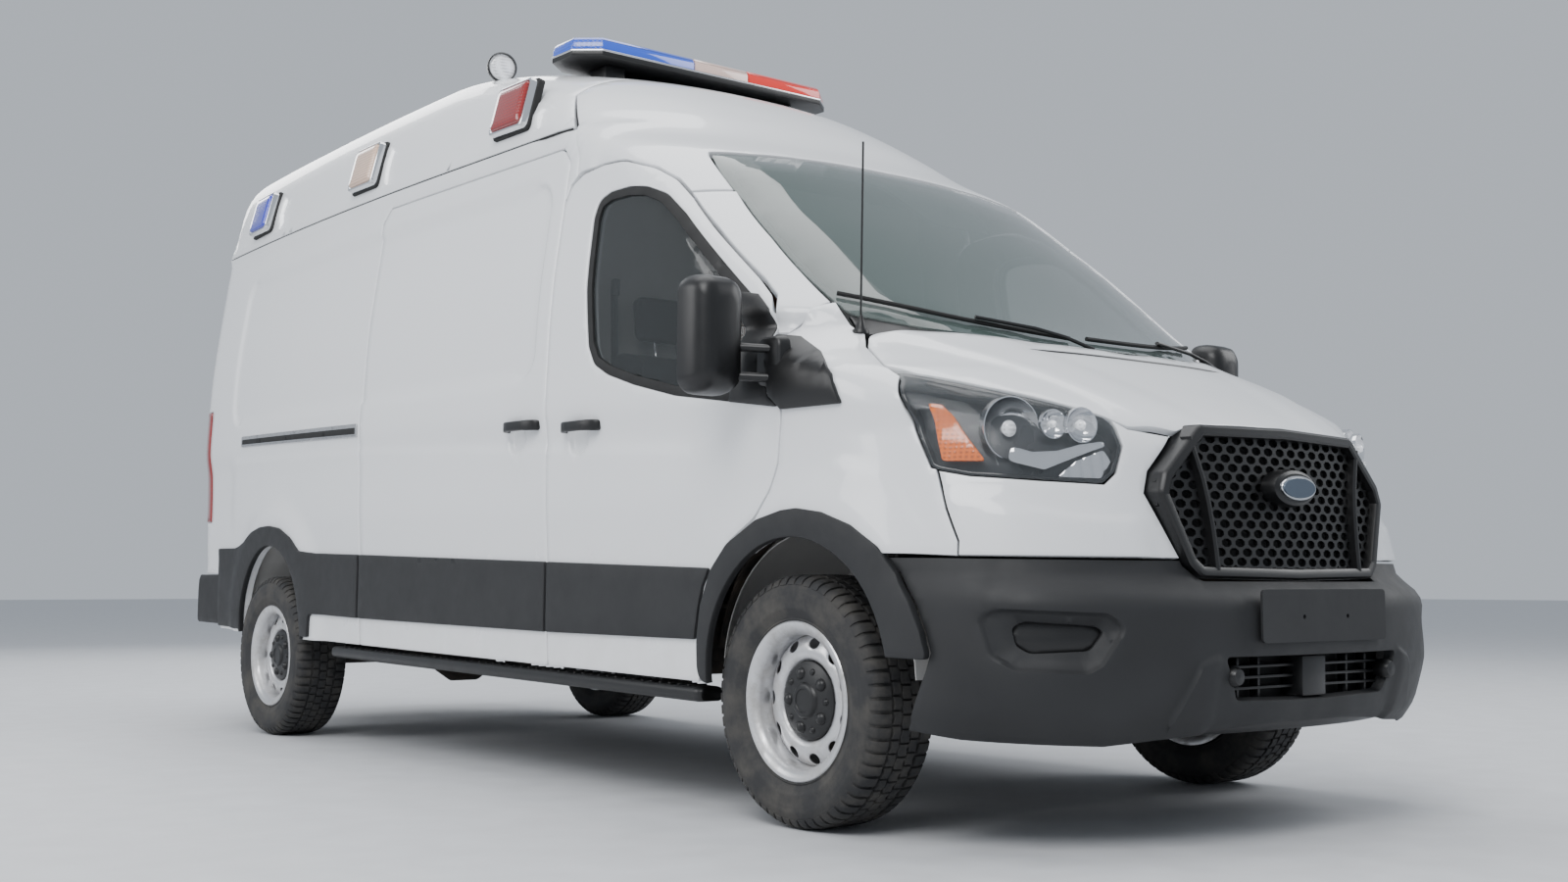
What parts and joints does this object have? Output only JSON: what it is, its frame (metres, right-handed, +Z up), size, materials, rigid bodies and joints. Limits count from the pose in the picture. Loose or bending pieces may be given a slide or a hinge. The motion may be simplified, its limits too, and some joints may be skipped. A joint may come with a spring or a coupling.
{
  "type": "ambulance",
  "caption": "High-roof van ambulance with steered front wheels, hinged cab doors, rear doors and hood, a roof light bar and side warning lamps.",
  "frame": {"origin": "on the ground, under the middle of the overall box", "axes": "-Y is the vehicle's front, +X is the vehicle's left side, +Z is up"},
  "size_m": [2.468, 6.052, 2.829],
  "materials": {
    "white_paint": "gloss",
    "black_plastic": "matte",
    "cab_plastic": "matte",
    "cabinet_laminate": "satin",
    "clear_glass": "gloss",
    "clear_lamp": "gloss",
    "red_lamp": "gloss",
    "blue_lamp": "gloss",
    "seat_fabric": "matte",
    "chassis_steel": "satin",
    "engine_iron": "matte",
    "wheel_steel": "satin",
    "tyre_rubber": "matte"
  },
  "bodies": {
    "van_body": {"floor_pan": "chassis_steel", "side_panel_right": "white_paint", "side_panel_left": "white_paint", "roof": "white_paint", "roof_cap": "white_paint", "cab_frame": "white_paint", "bulkhead": "cab_plastic", "front_wings": "white_paint", "nose_panel": "white_paint", "grille": "black_plastic", "front_bumper": "black_plastic", "rear_bumper": "black_plastic", "sliding_door": "white_paint", "windshield": "clear_glass", "headlights": "clear_lamp", "tail_lights": "red_lamp", "light_bar": "blue_lamp", "warning_lights": "blue_lamp", "cladding": "black_plastic", "side_steps": "black_plastic", "cab_seats": "seat_fabric", "dashboard": "cab_plastic", "engine": "engine_iron", "front_subframe": "chassis_steel", "rear_axle": "chassis_steel", "exhaust_and_tank": "chassis_steel", "cabinets": "cabinet_laminate"},
    "steering_wheel": {"steering_wheel": "cab_plastic"},
    "hood": {"hood": "white_paint"},
    "front_door_right": {"front_door_right": "white_paint", "door_glass_right": "clear_glass", "mirror_right": "black_plastic"},
    "front_door_left": {"front_door_left": "white_paint", "door_glass_left": "clear_glass", "mirror_left": "black_plastic"},
    "rear_door_right": {"rear_door_right": "white_paint", "rear_glass_right": "clear_glass"},
    "rear_door_left": {"rear_door_left": "white_paint", "rear_glass_left": "clear_glass"},
    "knuckle_right": {"knuckle_right": "chassis_steel"},
    "knuckle_left": {"knuckle_left": "chassis_steel"},
    "front_wheel_right": {"front_rim_right": "wheel_steel", "front_tyre_right": "tyre_rubber"},
    "front_wheel_left": {"front_rim_left": "wheel_steel", "front_tyre_left": "tyre_rubber"},
    "rear_wheel_right": {"rear_rim_right": "wheel_steel", "rear_tyre_right": "tyre_rubber"},
    "rear_wheel_left": {"rear_rim_left": "wheel_steel", "rear_tyre_left": "tyre_rubber"}
  },
  "joints": [
    {"name": "steer_right", "type": "hinge", "parent": "van_body", "child": "knuckle_right", "pos_m": [-0.775, -1.964, 0.354], "axis": [0, 0, 1], "range_deg": [-33, 33]},
    {"name": "steer_left", "type": "hinge", "parent": "van_body", "child": "knuckle_left", "pos_m": [0.775, -1.964, 0.354], "axis": [0, 0, 1], "range_deg": [-33, 33]},
    {"name": "wheel_spin_front_right", "type": "hinge", "parent": "knuckle_right", "child": "front_wheel_right", "pos_m": [-0.866, -1.964, 0.354], "axis": [1, 0, 0], "continuous": true},
    {"name": "wheel_spin_front_left", "type": "hinge", "parent": "knuckle_left", "child": "front_wheel_left", "pos_m": [0.866, -1.964, 0.354], "axis": [1, 0, 0], "continuous": true},
    {"name": "wheel_spin_rear_right", "type": "hinge", "parent": "van_body", "child": "rear_wheel_right", "pos_m": [-0.866, 1.786, 0.354], "axis": [1, 0, 0], "continuous": true},
    {"name": "wheel_spin_rear_left", "type": "hinge", "parent": "van_body", "child": "rear_wheel_left", "pos_m": [0.866, 1.786, 0.354], "axis": [1, 0, 0], "continuous": true},
    {"name": "front_door_right_swing", "type": "hinge", "parent": "van_body", "child": "front_door_right", "pos_m": [-1.02, -1.9619, 1.2002], "axis": [0, -0.0166, 0.9999], "range_deg": [0, 66]},
    {"name": "front_door_left_swing", "type": "hinge", "parent": "van_body", "child": "front_door_left", "pos_m": [1.02, -1.9619, 1.2002], "axis": [0, 0.0166, -0.9999], "range_deg": [0, 66]},
    {"name": "rear_door_right_swing", "type": "hinge", "parent": "van_body", "child": "rear_door_right", "pos_m": [-0.797, 2.87012, 1.48035], "axis": [0, -0.0166, 0.9999], "range_deg": [0, 170]},
    {"name": "rear_door_left_swing", "type": "hinge", "parent": "van_body", "child": "rear_door_left", "pos_m": [0.797, 2.87012, 1.48035], "axis": [0, 0.0166, -0.9999], "range_deg": [0, 170]},
    {"name": "hood_lift", "type": "hinge", "parent": "van_body", "child": "hood", "pos_m": [0, -2.08195, 1.38323], "axis": [-1, 0, 0], "range_deg": [0, 46]},
    {"name": "steering_wheel_turn", "type": "hinge", "parent": "van_body", "child": "steering_wheel", "pos_m": [0.4, -1.39381, 1.19962], "axis": [0, 0.7319, 0.6814], "range_deg": [-495, 495]}
  ],
  "couplings": [
    {"joint": "steer_left", "follows": "steer_right", "ratio": 1},
    {"joint": "steering_wheel_turn", "follows": "steer_right", "ratio": 15}
  ]
}
